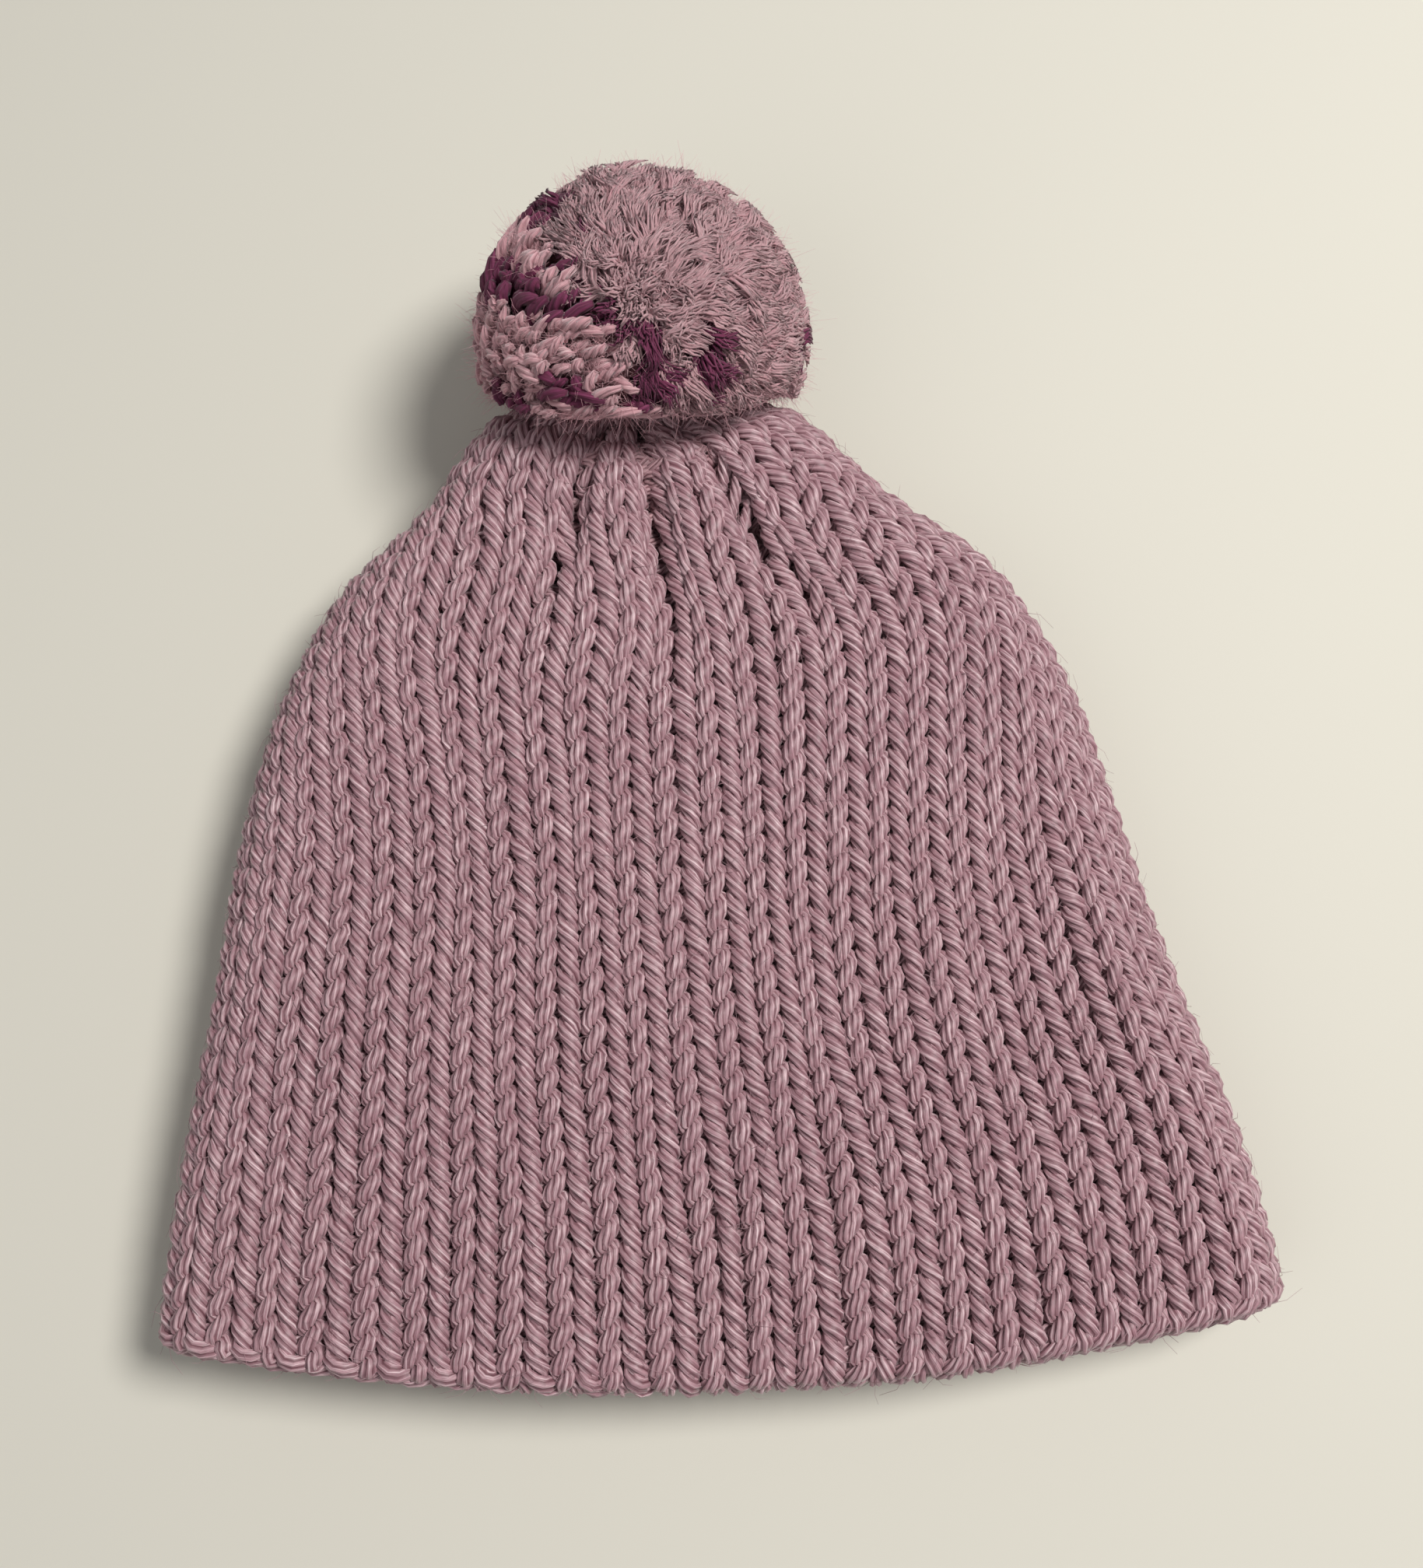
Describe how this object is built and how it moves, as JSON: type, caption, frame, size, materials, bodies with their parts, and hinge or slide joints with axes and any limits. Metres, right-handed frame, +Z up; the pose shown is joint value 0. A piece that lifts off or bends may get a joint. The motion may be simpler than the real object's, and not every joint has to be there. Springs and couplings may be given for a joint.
{
  "type": "pom pom beanie",
  "caption": "Double-layer stockinette knit beanie lying flat, with a folded brim, a gathered crown and a yarn pom-pom tied on at the top.",
  "frame": {"origin": "on the surface the hat lies on, under the middle of its overall length and width", "axes": "+X to the right seen from above with the mouth nearest, +Y from the mouth to the pom-pom, +Z up off the surface"},
  "size_m": [0.2176, 0.247, 0.066],
  "materials": {
    "outer_knit": "smooth plied yarn in dusty mauve pink, plain knit, soft sheen",
    "lining_knit": "the same mauve yarn, knit face turned to the wearer",
    "pompom_mauve": "cut yarn ends, fluffed, dusty mauve pink",
    "pompom_purple": "cut yarn ends, fluffed, deep plum purple",
    "tie_yarn": "one strand of the mauve yarn, drawn tight"
  },
  "bodies": {
    "hat": {"outer_knit_layer": "outer_knit", "lining_knit_layer": "lining_knit", "brim_fold": "outer_knit", "outer_drawstring": "tie_yarn", "lining_drawstring": "tie_yarn", "inner_knot": "tie_yarn", "inner_tether": "tie_yarn"},
    "tether_root": {"tether_root": "tie_yarn"},
    "tether_shank": {"tether_shank": "tie_yarn"},
    "pompom": {"pompom_strands": "pompom_mauve", "pompom_waist_tie": "tie_yarn", "purple_strands_1": "pompom_purple", "purple_strands_2": "pompom_purple", "purple_strands_3": "pompom_purple", "purple_strands_4": "pompom_purple", "purple_strands_5": "pompom_purple", "purple_strands_6": "pompom_purple", "purple_strands_7": "pompom_purple", "purple_strands_8": "pompom_purple"}
  },
  "joints": [
    {"name": "pompom_swing", "type": "hinge", "parent": "hat", "child": "tether_root", "pos_m": [-0.01, 0.0753, 0.024], "axis": [0, 0, 1], "range_deg": [-6, 6]},
    {"name": "pompom_nod", "type": "hinge", "parent": "tether_root", "child": "tether_shank", "pos_m": [-0.01, 0.0753, 0.024], "axis": [1, 0, 0], "range_deg": [-25, 6]},
    {"name": "pompom_twist", "type": "hinge", "parent": "tether_shank", "child": "pompom", "pos_m": [-0.01, 0.0753, 0.024], "axis": [0.0668, 0.8815, 0.4675], "range_deg": [-45, 45]}
  ]
}
